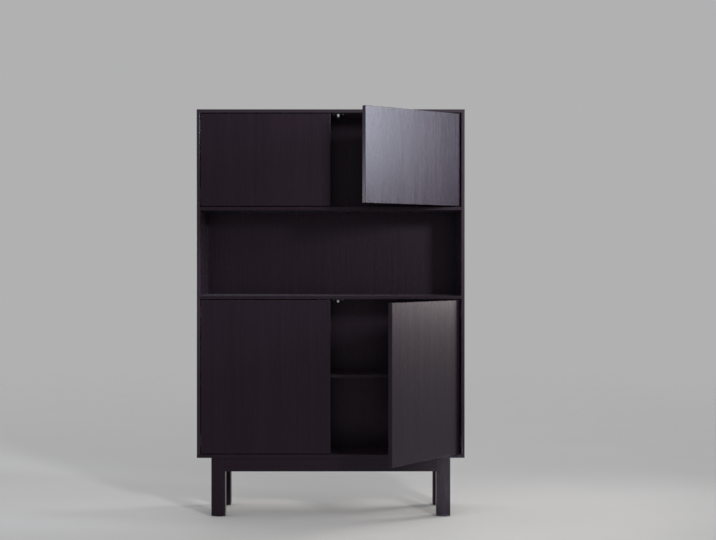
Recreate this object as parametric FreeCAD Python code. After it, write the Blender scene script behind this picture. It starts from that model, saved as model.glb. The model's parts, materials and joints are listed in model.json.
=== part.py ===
import FreeCAD, Part
import math
import os

# Carcass sizes, in millimetres
width = 1100.0
depth = 370.0
board = 13.5
board_arris = 1.0
lower_clear = 639.0
niche_clear = 352.0
upper_clear = 386.5
back_thickness = 5.0
back_inset = 15.0
groove_depth = 7.0
groove_play = 0.3

# Loose shelf in the lower compartment
shelf_lift = 312.0
shelf_setback = 45.0
shelf_play = 1.0
shelf_pin_radius = 2.5
shelf_pin_grip = 9.0
shelf_pin_collar_radius = 4.5
shelf_pin_collar = 1.5
shelf_pin_tab = 9.0
shelf_pin_spread = 210.0

# Base sizes
base_height = 243.5
base_setback = 15.0
leg_inset = 58.0
leg_size = 57.0
leg_arris = 1.5
apron_height = 57.5
apron_thickness = 22.0
glide_radius = 20.0
glide_height = 3.0
glide_stud_radius = 3.0
glide_stud_length = 15.0
corner_plate_thickness = 2.0
corner_plate_height = 36.0
corner_plate_flange = 25.0
corner_plate_reach = 8.0
corner_screw_spread = 18.0
corner_bolt_radius = 4.0
corner_bolt_grip = 38.0
corner_bolt_head_radius = 6.5
corner_bolt_head = 5.0

# Door sizes and the pose in which the doors stand
door_thickness = 18.0
door_gap = 3.0
door_end_gap = 4.0
door_recess = 1.0
door_arris = 1.0
upper_right_open = 41.8
lower_right_open = 56.5

# Concealed hinge sizes
hinge_from_door_end = 50.0
cup_from_edge = 22.5
cup_radius = 17.5
cup_depth = 12.5
cup_wall = 1.0
cup_play = 0.1
flange_lip = 1.5
flange_thickness = 1.2
flange_width = 18.0
flange_height = 58.0
flange_shift = 7.0
flange_corner = 4.5
cup_screw_spread = 45.0
cup_screw_shift = 9.5
pivot_shift = 10.5
pin_radius = 1.0
pin_play = 0.05
pin_seat = 0.5
eye_radius = 2.0
eye_clearance = 0.4
arm_thickness = 2.5
arm_height = 12.0
neck_angle = 10.0
neck_room = 2.0
bend_angle = 60.0
bend_room = 4.0
shoulder_angle = 95.0
shoulder_room = 13.0
arm_rest_depth = 60.0
arm_rest_length = 36.0
plate_thickness = 3.0
plate_rail_height = 15.0
plate_wing_height = 48.0
plate_wing_width = 15.0
plate_wing_thickness = 1.5
plate_screw_setback = 37.0
plate_screw_spread = 32.0
adjuster_setback = 22.0

# Push latch sizes
latch_offset = 30.0
latch_drop = 9.0
latch_radius = 5.0
latch_length = 60.0
latch_bore_depth = 50.0
latch_show = 4.2
adapter_setback = 3.0
adapter_length = 45.0
adapter_wall = 1.5
adapter_grip = 2.0
adapter_play = 0.05
adapter_flange_width = 46.0
adapter_flange_length = 14.0
adapter_flange_thickness = 3.0
adapter_screw_spread = 36.0
plunger_radius = 3.5
plunger_play = 0.15
plunger_length = 36.0
plunger_nose = 0.8
strike_thickness = 1.0
strike_width = 20.0
strike_height = 8.0
strike_corner = 1.0
strike_clearance = 0.3
spring_radius = 2.4
spring_wire = 0.4
spring_turns = 7
spring_end_play = 0.15

# Fastener sizes
dowel_radius = 4.0
dowel_length = 30.0
dowel_bite = 10.0
dowel_play = 0.05
dowel_end_play = 0.5
apron_dowel_length = 40.0
apron_dowel_spread = 26.0
screw_play = 0.05
recess_width_share = 0.12
recess_length_share = 0.6
recess_depth_share = 0.5
small_shank = 1.6
small_head = 3.2
small_head_height = 1.6
small_length = 11.0
plate_shank = 2.4
plate_head = 4.0
plate_head_height = 2.0
plate_length = 11.0
base_shank = 2.2
base_head = 4.2
base_head_height = 2.5
base_bite = 11.0
base_pocket_radius = 5.0
base_pocket_depth = 24.0
back_screw_length = 22.0

# Where the repeated fasteners stand
back_screw_count = 5
back_screw_setback = 135.0
base_screw_count = 3
base_screw_setback = 135.0
side_rail_screw_count = 2
side_rail_screw_setback = 53.0
carcass_dowel_count = 3
carcass_dowel_setback = 55.0

# Levels and planes worked out from the sizes
front = -depth / 2
rear = depth / 2
side = width / 2 - board
floor_top = base_height + board
bar_low = floor_top + lower_clear
bar_top = bar_low + board
upper_low = bar_top + niche_clear
upper_top = upper_low + board
top_low = upper_top + upper_clear
back_rear = rear - back_inset
back_front = back_rear - back_thickness
door_front = front + door_recess
door_back = door_front + door_thickness
door_edge = side - door_gap
door_width = side - 1.5 * door_gap
cup_x = door_edge - cup_from_edge
cup_floor = door_back - cup_depth + cup_play + cup_wall
pivot_x = cup_x + pivot_shift
pivot_y = cup_floor + eye_clearance + eye_radius
edge_sweep = math.hypot(door_edge - pivot_x, max(pivot_y - door_front, door_back - pivot_y))
apron_low = base_height - apron_height
leg_outer = width / 2 - leg_inset
leg_inner = leg_outer - leg_size
leg_front = front + base_setback
leg_back = leg_front + leg_size

ORIGIN = FreeCAD.Vector(0, 0, 0)
X_AXIS = FreeCAD.Vector(1, 0, 0)
Y_AXIS = FreeCAD.Vector(0, 1, 0)
Z_AXIS = FreeCAD.Vector(0, 0, 1)

SAME_PLANE = 1e-6

nodes = {}
holes = {}


def point(x, y, z):
    return FreeCAD.Vector(x, y, z)


def box(x_range, y_range, z_range):
    """A block between two values on each axis."""
    ranges = (x_range, y_range, z_range)
    sizes = [high - low for low, high in ranges]
    return Part.makeBox(*sizes, point(*[low for low, high in ranges]))


def rod(radius, start, direction, length):
    return Part.makeCylinder(radius, length, start, direction)


def mirror_x(shape):
    return shape.mirror(ORIGIN, X_AXIS)


def mirror_y(shape):
    return shape.mirror(ORIGIN, Y_AXIS)


def both_sides(shapes):
    """The shapes and their mirror images across the middle of the cabinet."""
    return list(shapes) + [mirror_x(shape) for shape in shapes]


def four_corners(shapes):
    """The shapes, repeated at all four corners of the base."""
    pair = both_sides(shapes)
    return pair + [mirror_y(shape) for shape in pair]


def add(node, *shapes):
    nodes.setdefault(node, []).extend(shapes)


def drill(node, *cutters):
    holes.setdefault(node, []).extend(cutters)


def spread_between(low, high, count):
    """Evenly spaced places from one value to another."""
    return [low + (high - low) * index / (count - 1) for index in range(count)]


def eased(shape, edges, size):
    """The shape with a small flat broken along some edges."""
    return shape.makeChamfer(size, edges)


def long_front_edges(shape, y):
    """The long edges of a board's front face."""
    found = []
    for edge in shape.Edges:
        on_front = all(abs(vertex.Y - y) < SAME_PLANE for vertex in edge.Vertexes)
        if on_front and edge.Length > 2 * board:
            found.append(edge)
    return found


def edges_along(shape, axis):
    """The straight edges of a shape that run along an axis."""
    found = []
    for edge in shape.Edges:
        run = edge.Vertexes[-1].Point - edge.Vertexes[0].Point
        if run.cross(axis).Length < SAME_PLANE:
            found.append(edge)
    return found


def strip(places, thickness, z_low, z_high):
    """A bent flat bar standing on edge, following places in plan with round bends."""
    pieces = []
    for start, end in zip(places, places[1:]):
        run = FreeCAD.Vector(end[0] - start[0], end[1] - start[1], 0)
        bar = Part.makeBox(run.Length, thickness, z_high - z_low, point(0, -thickness / 2, 0))
        bar.rotate(ORIGIN, Z_AXIS, math.degrees(math.atan2(run.y, run.x)))
        bar.translate(point(start[0], start[1], z_low))
        pieces.append(bar)
    for x, y in places[1:-1]:
        pieces.append(rod(thickness / 2, point(x, y, z_low), Z_AXIS, z_high - z_low))
    return pieces[0].fuse(pieces[1:]).removeSplitter()


def screw(seat, direction, shank, length, head, head_height):
    """A cross-recessed screw: the head stands on the seat and the shank runs along direction."""
    body = rod(shank, ORIGIN, -Z_AXIS, length).fuse(rod(head, ORIGIN, Z_AXIS, head_height))
    narrow = (-head * recess_width_share, head * recess_width_share)
    long = (-head * recess_length_share, head * recess_length_share)
    recess_range = (head_height * (1 - recess_depth_share), head_height)
    body = body.cut([box(narrow, long, recess_range), box(long, narrow, recess_range)])
    body.Placement = FreeCAD.Placement(seat, FreeCAD.Rotation(-Z_AXIS, direction))
    return body


def pilot(seat, direction, shank, length):
    """The hole that a screw's shank runs in."""
    return rod(shank + screw_play, seat, direction, length + screw_play)


def dowel(joint_face, direction, length, bite):
    """A dowel that bites forwards from the joint's face along direction and fills back from it."""
    start = joint_face - direction * (length - bite)
    return rod(dowel_radius, start, direction, length)


def dowel_hole(joint_face, direction, length, bite):
    start = joint_face - direction * (length - bite + dowel_end_play)
    return rod(dowel_radius + dowel_play, start, direction, length + 2 * dowel_end_play)


def make_carcass_boards():
    side_panel = box((side, width / 2), (front, rear), (floor_top, top_low))
    side_panel = eased(side_panel, long_front_edges(side_panel, front), board_arris)
    add("side_panel_right", side_panel)
    across = (-width / 2, width / 2)
    between = (-side, side)
    for node, x_range, y_range, low in (
        ("top_panel", across, (front, rear), top_low),
        ("bottom_panel", across, (front, rear), base_height),
        ("upper_shelf", between, (front, back_front), upper_low),
        ("bar_shelf", between, (front, back_front), bar_low),
    ):
        panel = box(x_range, y_range, (low, low + board))
        add(node, eased(panel, long_front_edges(panel, front), board_arris))
    make_back_panel()
    make_carcass_dowels()


def make_back_panel():
    """A thin back that slides in grooves round the carcass and is screwed to the fixed shelves."""
    half_width = side + groove_depth - groove_play
    low = floor_top - groove_depth + groove_play
    high = top_low + groove_depth - groove_play
    add("back_panel", box((-half_width, half_width), (back_front, back_rear), (low, high)))
    groove_y = (back_front, back_rear + groove_play)
    groove_side = (side, side + groove_depth)
    groove_across = (-side - groove_depth, side + groove_depth)
    drill("side_panel_right", box(groove_side, groove_y, (floor_top, top_low)))
    drill("top_panel", box(groove_across, groove_y, (top_low, top_low + groove_depth)))
    drill("bottom_panel", box(groove_across, groove_y, (floor_top - groove_depth, floor_top)))
    for shelf, low in (("upper_shelf", upper_low), ("bar_shelf", bar_low)):
        for x in spread_between(back_screw_setback - side, side - back_screw_setback, back_screw_count):
            seat = point(x, back_rear, low + board / 2)
            add(
                "back_panel_screws",
                screw(seat, -Y_AXIS, small_shank, back_screw_length, small_head, small_head_height),
            )
            hole = pilot(seat, -Y_AXIS, small_shank, back_screw_length)
            drill("back_panel", hole)
            drill(shelf, hole)


def make_carcass_dowels():
    upright = width / 2 - board / 2
    first = front + carcass_dowel_setback
    last = back_front - carcass_dowel_setback
    for y in spread_between(first, last, carcass_dowel_count):
        for shelf, low in (("upper_shelf", upper_low), ("bar_shelf", bar_low)):
            face = point(side, y, low + board / 2)
            add("carcass_dowels", *both_sides([dowel(face, X_AXIS, dowel_length, dowel_bite)]))
            hole = dowel_hole(face, X_AXIS, dowel_length, dowel_bite)
            drill("side_panel_right", hole)
            drill(shelf, *both_sides([hole]))
        for panel, z, direction in (("top_panel", top_low, Z_AXIS), ("bottom_panel", floor_top, -Z_AXIS)):
            face = point(upright, y, z)
            add("carcass_dowels", *both_sides([dowel(face, direction, dowel_length, dowel_bite)]))
            hole = dowel_hole(face, direction, dowel_length, dowel_bite)
            drill("side_panel_right", hole)
            drill(panel, *both_sides([hole]))


def make_inner_shelf():
    """The loose shelf of the lower compartment, on four pins in the side panels."""
    low = floor_top + shelf_lift
    y_range = (front + shelf_setback, back_front - shelf_play)
    half_width = side - shelf_play
    shelf = box((-half_width, half_width), y_range, (low, low + board))
    add("inner_shelf", eased(shelf, long_front_edges(shelf, y_range[0]), board_arris))
    middle = (y_range[0] + y_range[1]) / 2
    for y in (middle - shelf_pin_spread / 2, middle + shelf_pin_spread / 2):
        centre = point(side, y, low - shelf_pin_collar_radius)
        stem = rod(shelf_pin_radius, centre, X_AXIS, shelf_pin_grip)
        collar = rod(shelf_pin_collar_radius, centre, -X_AXIS, shelf_pin_collar)
        tab = box(
            (side - shelf_pin_tab, side),
            (y - shelf_pin_radius, y + shelf_pin_radius),
            (low - shelf_pin_collar_radius, low),
        )
        add("shelf_pins", *both_sides([stem.fuse([collar, tab]).removeSplitter()]))
        drill("side_panel_right", rod(shelf_pin_radius, centre, X_AXIS, shelf_pin_grip + dowel_end_play))


def make_base():
    leg = box((leg_inner, leg_outer), (leg_front, leg_back), (glide_height, base_height))
    leg = eased(leg, edges_along(leg, Z_AXIS), leg_arris)
    rail_z = (apron_low, base_height)
    add("leg_front_right", leg)
    add("apron_front", box((-leg_inner, leg_inner), (leg_front, leg_front + apron_thickness), rail_z))
    add("apron_right", box((leg_outer - apron_thickness, leg_outer), (leg_back, -leg_back), rail_z))
    make_apron_dowels()
    make_corner_plate()
    make_glide()
    make_base_screws()


def make_apron_dowels():
    middle = (apron_low + base_height) / 2
    bite = apron_dowel_length / 2
    for z in (middle - apron_dowel_spread / 2, middle + apron_dowel_spread / 2):
        for apron, face, direction in (
            ("apron_front", point(leg_inner, leg_front + apron_thickness / 2, z), X_AXIS),
            ("apron_right", point(leg_outer - apron_thickness / 2, leg_back, z), -Y_AXIS),
        ):
            add("apron_dowels", *four_corners([dowel(face, direction, apron_dowel_length, bite)]))
            hole = dowel_hole(face, direction, apron_dowel_length, bite)
            drill("leg_front_right", hole)
            drill(apron, *four_corners([hole]))


def make_corner_plate():
    """A bent steel plate across each inner corner, bolted to the leg and screwed to both rails."""
    half = corner_plate_thickness / 2
    apron_face = leg_front + apron_thickness
    side_face = leg_outer - apron_thickness
    bolt_z = (apron_low + base_height) / 2
    z_range = (bolt_z - corner_plate_height / 2, bolt_z + corner_plate_height / 2)
    # The slanted run passes clear of the leg's inner corner by the plate's reach
    near_x = leg_inner - (leg_back - apron_face - half) - corner_plate_reach * math.sqrt(2)
    far_y = apron_face + half + (side_face - half - near_x)
    places = (
        (near_x - corner_plate_flange, apron_face + half),
        (near_x, apron_face + half),
        (side_face - half, far_y),
        (side_face - half, far_y + corner_plate_flange),
    )
    plate = strip(places, corner_plate_thickness, *z_range)
    toward_leg = FreeCAD.Vector(1, -1, 0).normalize()
    corner = point(leg_inner, leg_back, bolt_z)
    seat = corner - toward_leg * (corner_plate_reach + half)
    grip = corner_plate_thickness + corner_plate_reach + corner_bolt_grip
    head = rod(corner_bolt_head_radius, seat, -toward_leg, corner_bolt_head)
    add("corner_bolts", *four_corners([rod(corner_bolt_radius, seat, toward_leg, grip).fuse(head)]))
    hole = rod(corner_bolt_radius + screw_play, seat, toward_leg, grip + screw_play)
    drill("leg_front_right", hole)
    cutters = [hole]
    for z in (bolt_z - corner_screw_spread / 2, bolt_z + corner_screw_spread / 2):
        front_seat = point(near_x - corner_plate_flange / 2, apron_face + corner_plate_thickness, z)
        side_seat = point(side_face - corner_plate_thickness, far_y + corner_plate_flange / 2, z)
        for apron, place, direction in (
            ("apron_front", front_seat, -Y_AXIS),
            ("apron_right", side_seat, X_AXIS),
        ):
            fastener = screw(place, direction, small_shank, small_length, small_head, small_head_height)
            add("corner_plate_screws", *four_corners([fastener]))
            shank_hole = pilot(place, direction, small_shank, small_length)
            drill(apron, *four_corners([shank_hole]))
            cutters.append(shank_hole)
    add("corner_plates", *four_corners([plate.cut(cutters)]))


def make_glide():
    x = (leg_inner + leg_outer) / 2
    y = (leg_front + leg_back) / 2
    foot = rod(glide_radius, point(x, y, 0), Z_AXIS, glide_height)
    stud_start = point(x, y, glide_height)
    stud = rod(glide_stud_radius, stud_start, Z_AXIS, glide_stud_length)
    add("foot_glides", *four_corners([foot.fuse(stud)]))
    stud_hole_length = glide_stud_length + dowel_end_play
    drill("leg_front_right", rod(glide_stud_radius + dowel_play, stud_start, Z_AXIS, stud_hole_length))


def make_base_screws():
    """Screws from pockets under the rails up into the bottom panel."""
    seat_z = apron_low + base_pocket_depth
    length = base_height - seat_z + base_bite
    front_last = leg_inner - base_screw_setback
    front_places = spread_between(-front_last, front_last, base_screw_count)
    front_row = [(x, leg_front + apron_thickness / 2) for x in front_places]
    side_last = -leg_back - side_rail_screw_setback
    side_places = spread_between(-side_last, side_last, side_rail_screw_count)
    side_row = [(leg_outer - apron_thickness / 2, y) for y in side_places]
    for apron, row in (("apron_front", front_row), ("apron_right", side_row)):
        for x, y in row:
            seat = point(x, y, seat_z)
            fastener = screw(seat, Z_AXIS, base_shank, length, base_head, base_head_height)
            hole = pilot(seat, Z_AXIS, base_shank, length)
            pocket = rod(base_pocket_radius, point(x, y, apron_low), Z_AXIS, base_pocket_depth)
            copy = mirror_y if apron == "apron_front" else mirror_x
            add("base_screws", fastener, copy(fastener))
            drill("bottom_panel", hole, copy(hole))
            drill(apron, hole, pocket)


def hinge_heights(door_range):
    return (door_range[0] + hinge_from_door_end, door_range[1] - hinge_from_door_end)


def make_door(door_range, ceiling):
    """A closed right-hand door with its cups, pins, screws and strike plate, as a dictionary."""
    x_range = (door_edge - door_width, door_edge)
    panel = box(x_range, (door_front, door_back), door_range)
    panel = eased(panel, panel.Edges, door_arris)
    pieces = {"hinge_cups": [], "hinge_pins": [], "cup_screws": []}
    cutters = []
    for z in hinge_heights(door_range):
        mouth = point(cup_x, door_back, z)
        cutters.append(rod(cup_radius, mouth, -Y_AXIS, cup_depth))
        cup, pin, screws, pilots = make_cup(mouth, z)
        pieces["hinge_cups"].append(cup)
        pieces["hinge_pins"].append(pin)
        pieces["cup_screws"].extend(screws)
        cutters.extend(pilots)
    axis_z = ceiling - latch_drop
    strike = box(
        (latch_offset - strike_width / 2, latch_offset + strike_width / 2),
        (door_back, door_back + strike_thickness),
        (axis_z - strike_height / 2, axis_z + strike_height / 2),
    )
    pieces["strike_plate"] = [eased(strike, edges_along(strike, Y_AXIS), strike_corner)]
    pieces["door"] = [panel.cut(cutters)]
    return pieces


def make_cup(mouth, z):
    """A hinge cup with its flange, the pin across it and its two screws with their holes."""
    outer = cup_radius - cup_play
    inner = outer - cup_wall
    shell_depth = cup_depth - cup_play
    flange = rod(cup_radius + flange_lip, mouth, Y_AXIS, flange_thickness)
    wing_x = cup_x - flange_shift
    wing = box(
        (wing_x - flange_width / 2, wing_x + flange_width / 2),
        (door_back, door_back + flange_thickness),
        (z - flange_height / 2, z + flange_height / 2),
    )
    wing = eased(wing, edges_along(wing, Y_AXIS), flange_corner)
    cup = rod(outer, mouth, -Y_AXIS, shell_depth).fuse([flange, wing]).removeSplitter()
    hollow_start = mouth + Y_AXIS * flange_thickness
    cup = cup.cut(rod(inner, hollow_start, -Y_AXIS, shell_depth - cup_wall + flange_thickness))
    half_chord = math.sqrt(inner**2 - (pivot_x - cup_x) ** 2) + pin_seat
    pin = rod(pin_radius, point(pivot_x, pivot_y, z - half_chord), Z_AXIS, 2 * half_chord)
    screws = []
    pilots = []
    for offset in (-cup_screw_spread / 2, cup_screw_spread / 2):
        seat = point(cup_x - cup_screw_shift, door_back + flange_thickness, z + offset)
        screws.append(screw(seat, -Y_AXIS, small_shank, small_length, small_head, small_head_height))
        pilots.append(pilot(seat, -Y_AXIS, small_shank, small_length))
    return cup.cut([pin] + pilots), pin, screws, pilots


def round_edge(angle, room):
    """A place in plan that leaves room round the path of the door's edge about the hinge pin.

    The angle runs from the door's line to the rear.
    """
    turn = math.radians(angle)
    radius = edge_sweep + room
    return (pivot_x - radius * math.cos(turn), pivot_y + radius * math.sin(turn))


def make_hinge_mounts(door_range):
    """The fixed half of a right-hand door's hinges: arms, mounting plates and their screws."""
    plate_face = side - plate_thickness
    arm_x = plate_face - arm_thickness / 2
    rest_start = front + arm_rest_depth
    rest_end = rest_start + arm_rest_length
    wing_face = side - plate_wing_thickness
    screw_y = front + plate_screw_setback
    wing_start = screw_y - plate_wing_width / 2
    places = (
        (pivot_x, pivot_y),
        round_edge(neck_angle, neck_room),
        round_edge(bend_angle, bend_room),
        round_edge(shoulder_angle, shoulder_room),
        (arm_x, rest_start),
        (arm_x, rest_end),
    )
    for z in hinge_heights(door_range):
        z_range = (z - arm_height / 2, z + arm_height / 2)
        eye = rod(eye_radius, point(pivot_x, pivot_y, z_range[0]), Z_AXIS, arm_height)
        arm = strip(places, arm_thickness, *z_range).fuse(eye).removeSplitter()
        bore = rod(pin_radius + pin_play, point(pivot_x, pivot_y, z_range[0]), Z_AXIS, arm_height)
        rail_z = (z - plate_rail_height / 2, z + plate_rail_height / 2)
        rail = box((plate_face, side), (rest_start, rest_end), rail_z)
        tongue = box((wing_face, side), (wing_start, rest_start), rail_z)
        wing_z = (z - plate_wing_height / 2, z + plate_wing_height / 2)
        wing = box((wing_face, side), (wing_start, wing_start + plate_wing_width), wing_z)
        plate = rail.fuse([tongue, wing]).removeSplitter()
        adjuster_seat = point(plate_face - arm_thickness, rest_start + adjuster_setback, z)
        adjuster_length = plate_thickness + arm_thickness
        adjuster = screw(adjuster_seat, X_AXIS, plate_shank, adjuster_length, plate_head, plate_head_height)
        adjuster_hole = rod(plate_shank + screw_play, adjuster_seat, X_AXIS, adjuster_length)
        plate_cutters = [adjuster_hole]
        for offset in (-plate_screw_spread / 2, plate_screw_spread / 2):
            seat = point(wing_face, screw_y, z + offset)
            length = plate_wing_thickness + plate_length
            fastener = screw(seat, X_AXIS, plate_shank, length, plate_head, plate_head_height)
            add("hinge_plate_screws", *both_sides([fastener]))
            hole = pilot(seat, X_AXIS, plate_shank, length)
            drill("side_panel_right", hole)
            plate_cutters.append(hole)
        add("hinge_arms", *both_sides([arm.cut([bore, adjuster_hole])]))
        add("hinge_mounting_plates", *both_sides([plate.cut(plate_cutters)]))
        add("hinge_adjusting_screws", *both_sides([adjuster]))


def make_latch_adapter(mouth, ceiling, ceiling_board):
    """The clip that holds a latch's barrel under a board, with its two screws."""
    start = mouth.y + adapter_setback
    end = start + adapter_length
    reach = latch_radius + adapter_wall
    clip_x = (latch_offset - reach, latch_offset + reach)
    clip = box(clip_x, (start, end), (mouth.z - adapter_grip, ceiling))
    middle = (start + end) / 2
    flange = box(
        (latch_offset - adapter_flange_width / 2, latch_offset + adapter_flange_width / 2),
        (middle - adapter_flange_length / 2, middle + adapter_flange_length / 2),
        (ceiling - adapter_flange_thickness, ceiling),
    )
    flange = eased(flange, edges_along(flange, Z_AXIS), adapter_flange_thickness)
    seat_start = point(latch_offset, start, mouth.z)
    cutters = [rod(latch_radius + adapter_play, seat_start, Y_AXIS, adapter_length)]
    for offset in (-adapter_screw_spread / 2, adapter_screw_spread / 2):
        seat = point(latch_offset + offset, middle, ceiling - adapter_flange_thickness)
        fastener = screw(seat, Z_AXIS, small_shank, small_length, small_head, small_head_height)
        add("latch_screws", *both_sides([fastener]))
        hole = pilot(seat, Z_AXIS, small_shank, small_length)
        drill(ceiling_board, *both_sides([hole]))
        cutters.append(hole)
    add("latch_adapters", *both_sides([clip.fuse(flange).removeSplitter().cut(cutters)]))


def make_latch(level, ceiling, ceiling_board):
    """A push latch under a board: clip, barrel, spring and the sprung plunger."""
    axis_z = ceiling - latch_drop
    tip = door_back + strike_thickness + strike_clearance
    mouth = point(latch_offset, tip + latch_show, axis_z)
    make_latch_adapter(mouth, ceiling, ceiling_board)
    barrel = rod(latch_radius, mouth, Y_AXIS, latch_length)
    bore = rod(plunger_radius + plunger_play, mouth, Y_AXIS, latch_bore_depth)
    add("latch_housings", *both_sides([barrel.cut(bore)]))
    plunger = rod(plunger_radius, point(latch_offset, tip, axis_z), Y_AXIS, plunger_length)
    nose = [edge for edge in plunger.Edges if edge.Closed and edge.CenterOfMass.y < tip + plunger_nose]
    plunger = eased(plunger, nose, plunger_nose)
    add(f"{level}_right_latch_plunger", plunger)
    add(f"{level}_left_latch_plunger", mirror_x(plunger))
    spring_start = tip + plunger_length + spring_end_play
    spring_end = mouth.y + latch_bore_depth - spring_end_play
    spring = coil(point(latch_offset, spring_start, axis_z), spring_end - spring_start)
    add("latch_springs", *both_sides([spring]))


def arc_from(start, heading, end):
    """The arc that leaves a point along a heading and ends at another point."""
    chord = end - start
    along = FreeCAD.Vector(chord).normalize()
    bulge = heading - along * heading.dot(along)
    rise = chord.Length / 2 * math.tan(heading.getAngle(chord) / 2)
    middle = start + chord / 2 + bulge.normalize() * rise
    return Part.Arc(start, middle, end).toShape()


def coil(start, length):
    """An open spring along the Y axis, swept along two tangent arcs for each quarter turn of its helix."""
    quarters = 4 * spring_turns
    pitch = (length - 2 * spring_wire) / quarters
    rise_per_radian = pitch * 2 / math.pi

    def on_helix(quarter):
        turn = quarter * math.pi / 2
        along = spring_wire + pitch * quarter
        return start + point(spring_radius * math.cos(turn), along, spring_radius * math.sin(turn))

    def heading(quarter):
        turn = quarter * math.pi / 2
        run = point(-spring_radius * math.sin(turn), rise_per_radian, spring_radius * math.cos(turn))
        return run.normalize()

    arcs = []
    for quarter in range(quarters):
        first = on_helix(quarter)
        last = on_helix(quarter + 1)
        leaving = heading(quarter)
        arriving = heading(quarter + 1)
        span = last - first
        turned = 2 * (1 - leaving.dot(arriving))
        pull = span.dot(leaving + arriving)
        reach = (math.sqrt(pull**2 + turned * span.dot(span)) - pull) / turned
        meeting = (first + leaving * reach + last - arriving * reach) / 2
        arcs.append(arc_from(first, leaving, meeting))
        arcs.append(arc_from(meeting, (last - arriving * reach - meeting).normalize(), last))
    section = Part.Wire(Part.makeCircle(spring_wire, on_helix(0), heading(0)))
    return Part.Wire(arcs).makePipeShell([section], True, False)


def drilled(node):
    """A node's solids with all the holes that its neighbours need."""
    shapes = nodes[node]
    if node in holes:
        shapes = [shape.cut(holes[node]) for shape in shapes]
    return shapes


def hang_doors():
    """Each door on its own side of the cabinet, turned about its hinge pins to where it stands."""
    open_angles = {"upper": upper_right_open, "lower": lower_right_open}
    levels = {
        "upper": ((upper_top + door_end_gap, top_low - door_end_gap), top_low),
        "lower": ((floor_top + door_end_gap, bar_low - door_end_gap), bar_low),
    }
    for level, (door_range, ceiling) in levels.items():
        make_hinge_mounts(door_range)
        pivot = point(pivot_x, pivot_y, 0)
        for kind, shapes in make_door(door_range, ceiling).items():
            turned = [shape.rotated(pivot, Z_AXIS, open_angles[level]) for shape in shapes]
            add(f"{level}_right_{kind}", *turned)
            add(f"{level}_left_{kind}", *[mirror_x(shape) for shape in shapes])
    make_latch("upper", top_low, "top_panel")
    make_latch("lower", bar_low, "bar_shelf")


def mirror_finished_boards():
    """The boards, legs and rails that repeat on the other side of the cabinet."""
    finished = {node: drilled(node) for node in nodes}
    finished["side_panel_left"] = [mirror_x(shape) for shape in finished["side_panel_right"]]
    finished["leg_front_left"] = [mirror_x(shape) for shape in finished["leg_front_right"]]
    for end in ("left", "right"):
        finished[f"leg_rear_{end}"] = [mirror_y(shape) for shape in finished[f"leg_front_{end}"]]
    finished["apron_rear"] = [mirror_y(shape) for shape in finished["apron_front"]]
    finished["apron_left"] = [mirror_x(shape) for shape in finished["apron_right"]]
    return finished


def build():
    make_carcass_boards()
    make_inner_shelf()
    make_base()
    hang_doors()
    return mirror_finished_boards()


os.makedirs("parts", exist_ok=True)
for name, solids in sorted(build().items()):
    whole = solids[0] if len(solids) == 1 else Part.makeCompound(solids)
    whole.exportStep(f"parts/{name}.step")
    print(name, len(whole.Solids), round(whole.Volume), whole.isValid())
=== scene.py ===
"""Looks of a dark-stained bar armoire: finishes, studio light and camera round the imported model."""
import json
import math

import bpy
import bmesh
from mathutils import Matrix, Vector


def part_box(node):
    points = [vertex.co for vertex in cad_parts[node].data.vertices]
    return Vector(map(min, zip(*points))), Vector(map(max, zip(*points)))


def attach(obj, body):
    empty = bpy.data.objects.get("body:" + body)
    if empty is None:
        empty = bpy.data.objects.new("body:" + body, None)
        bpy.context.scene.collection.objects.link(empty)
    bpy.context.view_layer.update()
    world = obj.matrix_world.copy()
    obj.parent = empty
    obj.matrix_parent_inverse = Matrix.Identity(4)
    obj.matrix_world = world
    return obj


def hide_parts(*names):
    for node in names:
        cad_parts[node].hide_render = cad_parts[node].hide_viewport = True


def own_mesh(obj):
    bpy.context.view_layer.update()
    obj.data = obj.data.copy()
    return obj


# Camera, in metres and degrees, as the photograph was taken
CAMERA_PLACE = (0.0967, -6.4477, 1.0561)
CAMERA_PITCH_DOWN = 0.37
CAMERA_YAW_RIGHT = 0.14
FOCAL_PIXELS = 1525.6
IMAGE_WIDTH_PIXELS = 716
SENSOR_WIDTH_MM = 36.0

# Soft boxes: places, targets and sizes in metres, power in watts, spread in degrees
SOFT_BOXES = {
    "key_box": {
        "place": (2.15, -4.95, 2.13),
        "target": (0.0, -0.1, 1.05),
        "size": (0.55, 0.55),
        "power": 9.6,
        "color": (1.0, 0.97, 0.95),
        "spread": 50.0,
    },
    "side_box": {
        "place": (3.1, -1.3, 2.2),
        "target": (0.3, -0.35, 1.55),
        "size": (0.85, 1.15),
        "power": 11.0,
        "color": (0.815, 0.948, 1.0),
        "spread": 30.0,
    },
    "rear_box": {
        "place": (3.0, 1.3, 1.45),
        "target": (0.4, -0.35, 0.85),
        "size": (1.0, 1.1),
        "power": 6.1,
        "color": (1.0, 0.95, 0.89),
        "spread": 60.0,
    },
    "left_box": {
        "place": (-3.2, 0.15, 1.15),
        "target": (0.1, -0.5, 1.45),
        "size": (0.7, 0.9),
        "power": 3.0,
        "color": (0.95, 0.97, 1.0),
        "spread": 60.0,
    },
    "low_box": {
        "place": (0.9, -4.2, 0.16),
        "target": (0.58, -0.17, 0.10),
        "size": (0.25, 0.15),
        "power": 0.06,
        "color": (0.82, 0.93, 1.0),
        "spread": 6.5,
    },
}

# Noise: its usual range, and the share that each finer octave keeps
NOISE_LOW = 0.3
NOISE_HIGH = 0.7
NOISE_ROUGHNESS = 0.55

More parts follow.
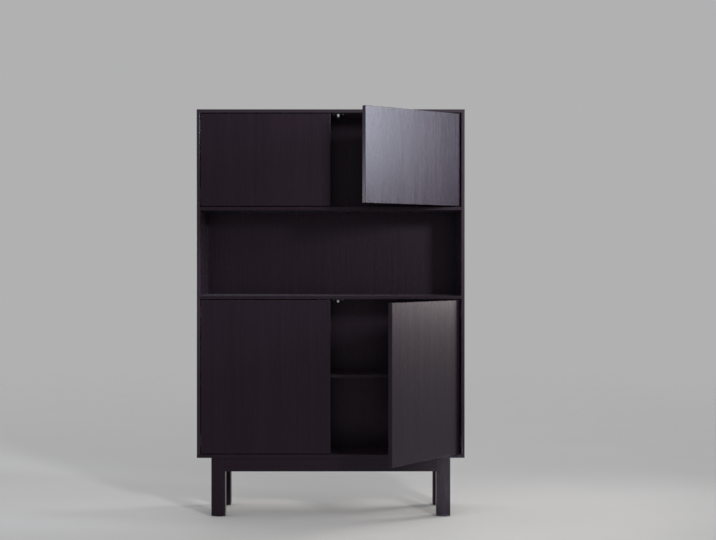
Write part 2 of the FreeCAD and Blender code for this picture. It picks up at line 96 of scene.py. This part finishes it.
# Floor and surroundings, in metres and linear light; a noise has its cycles per metre, then its octaves
WORLD_COLOR = (0.44, 0.44, 0.445)
FLOOR_COLOR = (0.93, 0.928, 0.925)
FLOOR_PALER = 1.05
FLOOR_CLOUD = ((2.2, 2.2, 2.2), 4.0)
FLOOR_ROUGHNESS = (0.6, 0.75)
FLOOR_RADIUS = 9.0
FLOOR_SIDES = 96
FLOOR_FADE_START = 3.0
FLOOR_FADE_END = 8.5

# Stained wood: colours as linear light, and the tint of its varnish
STAIN_DARK = (0.0060, 0.0021, 0.0058)
STAIN_LIGHT = (0.0104, 0.0046, 0.0100)
VARNISH_TINT = (1.0, 0.88, 1.0)
BACK_DARK = (0.0055, 0.0018, 0.0055)
BACK_LIGHT = (0.0094, 0.0042, 0.0094)
BACK_TINT = (1.0, 0.82, 1.0)
VARNISH_SPECULAR = 0.25
HAZE_WEIGHT = 0.03
HAZE_ROUGHNESS = 0.35

# Layers of grain: cycles per metre across and along the fibres, and octaves
GRAIN_LAYERS = {
    "broad": (7.0, 0.5, 2.0),
    "streak": (60.0, 0.9, 4.0),
    "line": (170.0, 1.6, 3.0),
    "fibre": (380.0, 6.0, 3.0),
    "pore": (900.0, 38.0, 2.0),
}
PORE_RANGE = (0.56, 0.68)
PORE_DARKENING = 0.55
PORE_ROUGHNESS = 0.12

# What each layer gives to the stain's tone, to the roughness and to the relief
TONE_SHARES = {"broad": 0.35, "streak": 0.35, "fibre": 0.3}
TONE_RANGE = (0.36, 0.64)
LAYER_ROUGHNESS = {"streak": (0.235, 0.255), "fibre": (0.0, 0.03), "line": (0.0, 0.02)}
RELIEF_SHARES = {"fibre": 0.28, "pore": -0.25, "streak": 0.06, "line": 0.07}

# Rubbed edges and the lipping, in metres; facing runs from a flat face to a sharp edge.
# Both are paler: worn edges partly as a painted arris highlight, the lipping as a painted front-edge
# highlight
RUBBED_AND_HIGHLIGHT_COLOR = (0.070, 0.058, 0.065)
RUBBED_AND_HIGHLIGHT_WIDTH = 0.0022
RUBBED_AND_HIGHLIGHT_SAMPLES = 6
RUBBED_AND_HIGHLIGHT_FACING = (0.99, 0.8)
RUBBED_AND_HIGHLIGHT_SHARE = (0.25, 0.9)
LIPPING_HIGHLIGHT_COLOR = (0.0205, 0.0130, 0.0195)
LIPPING_HIGHLIGHT_DEPTH = 0.0012

# Reliefs of the surfaces: depth in metres, and strength
STAIN_RELIEF = (0.0004, 0.12)
BEECH_RELIEF = (0.0002, 0.2)
STEEL_RELIEF = (0.00006, 0.2)
PLASTIC_RELIEF = (0.00008, 0.25)
FELT_RELIEF = (0.0006, 0.5)

# Raw beech
BEECH_DARK = (0.50, 0.34, 0.19)
BEECH_LIGHT = (0.66, 0.49, 0.30)
BEECH_FIBRE = ((700.0, 700.0, 700.0), 4.0)
BEECH_FLECKS = (0.35, 0.7)
BEECH_ROUGHNESS = (0.55, 0.75)

# Nickelled steel
STEEL_BRIGHT = (0.66, 0.64, 0.60)
STEEL_DULL = (0.52, 0.50, 0.47)
STEEL_RUB = ((1800.0, 260.0, 1800.0), 3.0)
STEEL_CLOUD = ((120.0, 120.0, 120.0), 3.0)
STEEL_ROUGHNESS = (0.2, 0.34)
STEEL_DULLING = 0.08

# Plastics of the latches and of the clips that hold them
LATCH_DARK = (0.44, 0.44, 0.45)
LATCH_LIGHT = (0.52, 0.52, 0.53)
ADAPTER_DARK = (0.022, 0.020, 0.022)
ADAPTER_LIGHT = (0.036, 0.033, 0.036)
PLASTIC_GRIT = ((2600.0, 2600.0, 2600.0), 2.0)
PLASTIC_SHADE = ((90.0, 90.0, 90.0), 2.0)
PLASTIC_ROUGHNESS = (0.4, 0.58)

# Felt, whose noise also has its own share kept by each finer octave
FELT_DARK = (0.022, 0.021, 0.02)
FELT_LIGHT = (0.075, 0.072, 0.068)
FELT_FUZZ = ((1500.0, 1500.0, 900.0), 5.0, 0.7)
FELT_FUZZ_RANGE = (0.2, 0.8)
FELT_ROUGHNESS = (0.85, 1.0)
FELT_SHEEN = 0.3

# Boards whose grain doesn't run upright, and boards whose lipping along the front is painted paler as a
# highlight on that edge
GRAIN_ALONG = {
    "x": (
        "top_panel", "bottom_panel", "upper_shelf", "bar_shelf", "inner_shelf",
        "apron_front", "apron_rear",
    ),
    "y": ("apron_left", "apron_right"),
}
LIPPED_HIGHLIT_BOARDS = ("top_panel", "side_panel_left", "side_panel_right")

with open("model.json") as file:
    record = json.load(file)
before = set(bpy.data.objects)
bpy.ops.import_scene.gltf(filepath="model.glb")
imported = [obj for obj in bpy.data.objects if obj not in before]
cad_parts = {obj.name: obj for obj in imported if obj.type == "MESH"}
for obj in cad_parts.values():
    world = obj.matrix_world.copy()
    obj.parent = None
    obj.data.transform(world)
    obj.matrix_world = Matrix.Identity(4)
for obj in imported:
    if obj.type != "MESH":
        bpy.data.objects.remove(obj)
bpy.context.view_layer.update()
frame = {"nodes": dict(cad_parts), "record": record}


def new_material(name):
    """A node material with only its surface shader, and that shader."""
    material = bpy.data.materials.new(name)
    material.use_nodes = True
    return material, material.node_tree, material.node_tree.nodes["Principled BSDF"]


def node(tree, kind, settings=None, **values):
    """A node of a kind, with its settings and its unlinked sockets filled in."""
    made = tree.nodes.new("ShaderNode" + kind)
    for key, value in (settings or {}).items():
        setattr(made, key, value)
    for key, value in values.items():
        made.inputs[key.replace("_", " ").title()].default_value = value
    return made


def join(tree, source, target):
    """A link from an output to an input."""
    tree.links.new(source, target)


def math_node(tree, operation, *values):
    """A calculation on values, each a socket or a plain number."""
    made = node(tree, "Math", {"operation": operation})
    for socket, value in zip(made.inputs, values):
        if isinstance(value, float):
            socket.default_value = value
        else:
            join(tree, value, socket)
    return made.outputs["Value"]


def weighted_sum(tree, sources, shares):
    """The sum of named sources, each times its share."""
    total = 0.0
    for name, share in shares.items():
        total = math_node(tree, "MULTIPLY_ADD", sources[name], share, total)
    return total


def remap(tree, source, low, high, to_low=0.0, to_high=1.0):
    """A source's range from low to high, spread over another range and held at its ends."""
    made = node(tree, "MapRange", {"clamp": True}, from_min=low, from_max=high, to_min=to_low, to_max=to_high)
    join(tree, source, made.inputs["Value"])
    return made.outputs["Result"]


def spread_noise(tree, source, to_low=0.0, to_high=1.0):
    """A noise's usual range, spread over another range."""
    return remap(tree, source, NOISE_LOW, NOISE_HIGH, to_low, to_high)


def noise(tree, cycles, detail, roughness=NOISE_ROUGHNESS):
    """Noise on the piece's own place, with its cycles per metre on each axis."""
    place = node(tree, "TexCoord")
    mapping = node(tree, "Mapping", scale=cycles)
    join(tree, place.outputs["Object"], mapping.inputs["Vector"])
    texture = node(tree, "TexNoise", scale=1.0, detail=detail, roughness=roughness)
    join(tree, mapping.outputs["Vector"], texture.inputs["Vector"])
    return texture.outputs["Fac"]


def grain_noise(tree, grain, across, along, detail):
    """Noise drawn out along one axis, as wood fibres are."""
    stretched = [along if axis == grain else across for axis in "xyz"]
    return noise(tree, stretched, detail)


def blend(tree, share, first, second):
    """A colour between two, each a socket or a plain colour."""
    made = node(tree, "Mix", {"data_type": "RGBA"})
    join(tree, share, made.inputs["Factor"])
    for socket, value in ((made.inputs[6], first), (made.inputs[7], second)):
        if isinstance(value, tuple):
            socket.default_value = (*value, 1.0)
        else:
            join(tree, value, socket)
    return made.outputs[2]


def edge_share(tree):
    """How close a place is to an outer edge, from none to all."""
    rounded = node(tree, "Bevel", {"samples": RUBBED_AND_HIGHLIGHT_SAMPLES}, radius=RUBBED_AND_HIGHLIGHT_WIDTH)
    flat = node(tree, "NewGeometry")
    facing = node(tree, "VectorMath", {"operation": "DOT_PRODUCT"})
    join(tree, rounded.outputs["Normal"], facing.inputs[0])
    join(tree, flat.outputs["True Normal"], facing.inputs[1])
    return remap(tree, facing.outputs["Value"], *RUBBED_AND_HIGHLIGHT_FACING)


def lipping_highlight_share(tree):
    """Whether a place lies on the thin lipping along the front of a board, which is painted paler as a
    highlight on that edge, from none to all.
    """
    place = node(tree, "TexCoord")
    axes = node(tree, "SeparateXYZ")
    join(tree, place.outputs["Object"], axes.inputs["Vector"])
    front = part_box("top_panel")[0].y
    return remap(tree, axes.outputs["Y"], front + LIPPING_HIGHLIGHT_DEPTH, front + LIPPING_HIGHLIGHT_DEPTH / 2)


def raise_surface(tree, shader, height, distance, strength):
    """A fine relief on a shader's surface."""
    bump = node(tree, "Bump", strength=strength, distance=distance)
    join(tree, height, bump.inputs["Height"])
    join(tree, bump.outputs["Normal"], shader.inputs["Normal"])


def stained_wood(name, grain, dark=STAIN_DARK, light=STAIN_LIGHT, tint=VARNISH_TINT, highlit_lipping=False):
    """Near-black stain on brushed veneer: streaks, fibres, open pores, worn edges paler also as a painted
    arris highlight, and a paler lipping painted as a front-edge highlight.
    """
    material, tree, shader = new_material(name)
    layers = {layer: grain_noise(tree, grain, *sizes) for layer, sizes in GRAIN_LAYERS.items()}
    layers["pore"] = remap(tree, layers["pore"], *PORE_RANGE)

    tone = remap(tree, weighted_sum(tree, layers, TONE_SHARES), *TONE_RANGE)
    stain = blend(tree, tone, dark, light)
    stain = blend(tree, math_node(tree, "MULTIPLY", layers["pore"], PORE_DARKENING), stain, dark)
    # Lipped boards: a paler strip on the front edge, painted as the highlight that edge catches
    if highlit_lipping:
        stain = blend(tree, lipping_highlight_share(tree), stain, LIPPING_HIGHLIGHT_COLOR)
    # Edges worn paler by rubbing; the paler tone also paints the highlight that the arrises catch
    rubbed_and_highlit = math_node(tree, "MULTIPLY", edge_share(tree), spread_noise(tree, layers["fibre"], *RUBBED_AND_HIGHLIGHT_SHARE))
    stain = blend(tree, rubbed_and_highlit, stain, RUBBED_AND_HIGHLIGHT_COLOR)
    join(tree, stain, shader.inputs["Base Color"])

    roughness = math_node(tree, "MULTIPLY", layers["pore"], PORE_ROUGHNESS)
    for layer, limits in LAYER_ROUGHNESS.items():
        roughness = math_node(tree, "ADD", roughness, spread_noise(tree, layers[layer], *limits))
    join(tree, roughness, shader.inputs["Roughness"])
    shader.inputs["Specular IOR Level"].default_value = VARNISH_SPECULAR
    shader.inputs["Specular Tint"].default_value = (*tint, 1.0)
    shader.inputs["Sheen Weight"].default_value = HAZE_WEIGHT
    shader.inputs["Sheen Roughness"].default_value = HAZE_ROUGHNESS
    shader.inputs["Sheen Tint"].default_value = (*tint, 1.0)

    raise_surface(tree, shader, weighted_sum(tree, layers, RELIEF_SHARES), *STAIN_RELIEF)
    return material


def raw_beech():
    """Unfinished wood with pale flecks."""
    material, tree, shader = new_material("raw_beech")
    fibre = noise(tree, *BEECH_FIBRE)
    fleck = remap(tree, fibre, *BEECH_FLECKS)
    join(tree, blend(tree, fleck, BEECH_DARK, BEECH_LIGHT), shader.inputs["Base Color"])
    join(tree, spread_noise(tree, fibre, *BEECH_ROUGHNESS), shader.inputs["Roughness"])
    raise_surface(tree, shader, fibre, *BEECH_RELIEF)
    return material


def nickelled_steel():
    """Plated pressings: a soft polish with rubbing marks and a little dulling."""
    material, tree, shader = new_material("nickelled_steel")
    rub = noise(tree, *STEEL_RUB)
    dull = spread_noise(tree, noise(tree, *STEEL_CLOUD))
    join(tree, blend(tree, dull, STEEL_BRIGHT, STEEL_DULL), shader.inputs["Base Color"])
    shader.inputs["Metallic"].default_value = 1.0
    polish = spread_noise(tree, rub, *STEEL_ROUGHNESS)
    roughness = math_node(tree, "MULTIPLY_ADD", dull, STEEL_DULLING, polish)
    join(tree, roughness, shader.inputs["Roughness"])
    raise_surface(tree, shader, rub, *STEEL_RELIEF)
    return material


def moulded_plastic(name, dark, light):
    """Moulded plastic with a fine spark-eroded grain."""
    material, tree, shader = new_material(name)
    grit = noise(tree, *PLASTIC_GRIT)
    shade = spread_noise(tree, noise(tree, *PLASTIC_SHADE))
    join(tree, blend(tree, shade, dark, light), shader.inputs["Base Color"])
    join(tree, spread_noise(tree, grit, *PLASTIC_ROUGHNESS), shader.inputs["Roughness"])
    raise_surface(tree, shader, grit, *PLASTIC_RELIEF)
    return material


def pressed_felt():
    """Dark felt with a fuzzy nap."""
    material, tree, shader = new_material("pressed_felt")
    fuzz = noise(tree, *FELT_FUZZ)
    join(tree, blend(tree, fuzz, FELT_DARK, FELT_LIGHT), shader.inputs["Base Color"])
    join(tree, remap(tree, fuzz, *FELT_FUZZ_RANGE, *FELT_ROUGHNESS), shader.inputs["Roughness"])
    shader.inputs["Sheen Weight"].default_value = FELT_SHEEN
    raise_surface(tree, shader, fuzz, *FELT_RELIEF)
    return material


def make_finishes():
    """The finishes by material slot, with stained wood in one finish for each run of its grain."""
    finishes = {
        "stained_back": stained_wood("stained_back", "z", BACK_DARK, BACK_LIGHT, BACK_TINT),
        "beech": raw_beech(),
        "nickelled_steel": nickelled_steel(),
        "latch_plastic": moulded_plastic("latch_plastic", LATCH_DARK, LATCH_LIGHT),
        "adapter_plastic": moulded_plastic("adapter_plastic", ADAPTER_DARK, ADAPTER_LIGHT),
        "felt": pressed_felt(),
    }
    for axis in "xyz":
        finishes["stained_wood_" + axis] = stained_wood("stained_wood_" + axis, axis)
    for axis in "xz":
        finishes["highlit_lipped_wood_" + axis] = stained_wood("highlit_lipped_wood_" + axis, axis, highlit_lipping=True)
    return finishes


def dress_nodes(finishes):
    """Each node of the model in the finish of its material slot, with the grain along its board."""
    grain_of = {name: axis for axis, names in GRAIN_ALONG.items() for name in names}
    for piece in frame["record"]["subparts"]:
        name = piece["node"]
        finish = piece["material_slot"]
        if finish == "stained_wood":
            # Lipped boards take the finish whose paler front strip is a painted highlight
            kind = "highlit_lipped_wood_" if name in LIPPED_HIGHLIT_BOARDS else "stained_wood_"
            finish = kind + grain_of.get(name, "z")
        mesh = frame["nodes"][name].data
        mesh.materials.clear()
        mesh.materials.append(finishes[finish])


def add_object(name, data):
    """A new object in the scene."""
    added = bpy.data.objects.new(name, data)
    bpy.context.scene.collection.objects.link(added)
    return added


def add_mesh(name, shape, material):
    """A new object with the mesh of a shape, which is used up, and a material."""
    mesh = bpy.data.meshes.new(name)
    shape.to_mesh(mesh)
    shape.free()
    mesh.materials.append(material)
    return add_object(name, mesh)


def make_springs(steel):
    """The latches' hidden springs, split into one piece for each latch and hung on the carcass."""
    low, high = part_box("latch_springs")
    middle = (low + high) / 2
    for joint in frame["record"]["behaviour"]["joints"]:
        if joint["type"] != "slide":
            continue
        level, side = joint["name"].split("_")[:2]
        shape = bmesh.new()
        shape.from_mesh(frame["nodes"]["latch_springs"].data)
        others = [
            corner for corner in shape.verts
            if (corner.co.x > middle.x) != (side == "right")
            or (corner.co.z > middle.z) != (level == "upper")
        ]
        bmesh.ops.delete(shape, geom=others, context="VERTS")
        spring = add_mesh(f"{level}_{side}_latch_spring", shape, steel)
        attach(spring, "carcass")
        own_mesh(spring)
        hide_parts("latch_springs")


def floor_finish():
    """A pale, faintly clouded ground that fades out with the distance."""
    material, tree, shader = new_material("studio_floor")
    cloud = noise(tree, *FLOOR_CLOUD)
    paler = tuple(value * FLOOR_PALER for value in FLOOR_COLOR)
    join(tree, blend(tree, cloud, FLOOR_COLOR, paler), shader.inputs["Base Color"])
    join(tree, spread_noise(tree, cloud, *FLOOR_ROUGHNESS), shader.inputs["Roughness"])
    place = node(tree, "TexCoord")
    distance = node(tree, "VectorMath", {"operation": "LENGTH"})
    join(tree, place.outputs["Object"], distance.inputs[0])
    kept = remap(tree, distance.outputs["Value"], FLOOR_FADE_START, FLOOR_FADE_END, 1.0, 0.0)
    join(tree, kept, shader.inputs["Alpha"])
    return material


def make_floor():
    """A pale floor that fades into the even light round it."""
    shape = bmesh.new()
    bmesh.ops.create_circle(shape, cap_ends=True, radius=FLOOR_RADIUS, segments=FLOOR_SIDES)
    floor = add_mesh("studio_floor", shape, floor_finish())


def make_world():
    """Even light from all sides."""
    world = bpy.data.worlds.new("studio_light")
    world.use_nodes = True
    background = world.node_tree.nodes["Background"]
    background.inputs["Color"].default_value = (*WORLD_COLOR, 1.0)
    bpy.context.scene.world = world


def make_lamp(name, place, target, size, power, color, spread):
    """A soft box at a place, turned towards a target and hidden from the camera."""
    data = bpy.data.lights.new(name, "AREA")
    data.shape = "RECTANGLE"
    data.size, data.size_y = size
    data.energy = power
    data.color = color
    data.spread = math.radians(spread)
    lamp = add_object(name, data)
    lamp.location = place
    toward = Vector(target) - Vector(place)
    lamp.rotation_mode = "QUATERNION"
    lamp.rotation_quaternion = toward.to_track_quat("-Z", "Y")
    lamp.visible_camera = False


def make_camera():
    """The camera at the photograph's angle."""
    data = bpy.data.cameras.new("photo_camera")
    data.sensor_width = SENSOR_WIDTH_MM
    data.lens = FOCAL_PIXELS * SENSOR_WIDTH_MM / IMAGE_WIDTH_PIXELS
    camera = add_object("photo_camera", data)
    camera.location = CAMERA_PLACE
    camera.rotation_euler = (math.radians(90 - CAMERA_PITCH_DOWN), 0.0, math.radians(-CAMERA_YAW_RIGHT))
    bpy.context.scene.camera = camera


make_camera()
all_finishes = make_finishes()
dress_nodes(all_finishes)
make_springs(all_finishes["nickelled_steel"])
make_floor()
make_world()
for box_name, box_settings in SOFT_BOXES.items():
    make_lamp(box_name, **box_settings)
bpy.context.scene.view_settings.view_transform = "Standard"
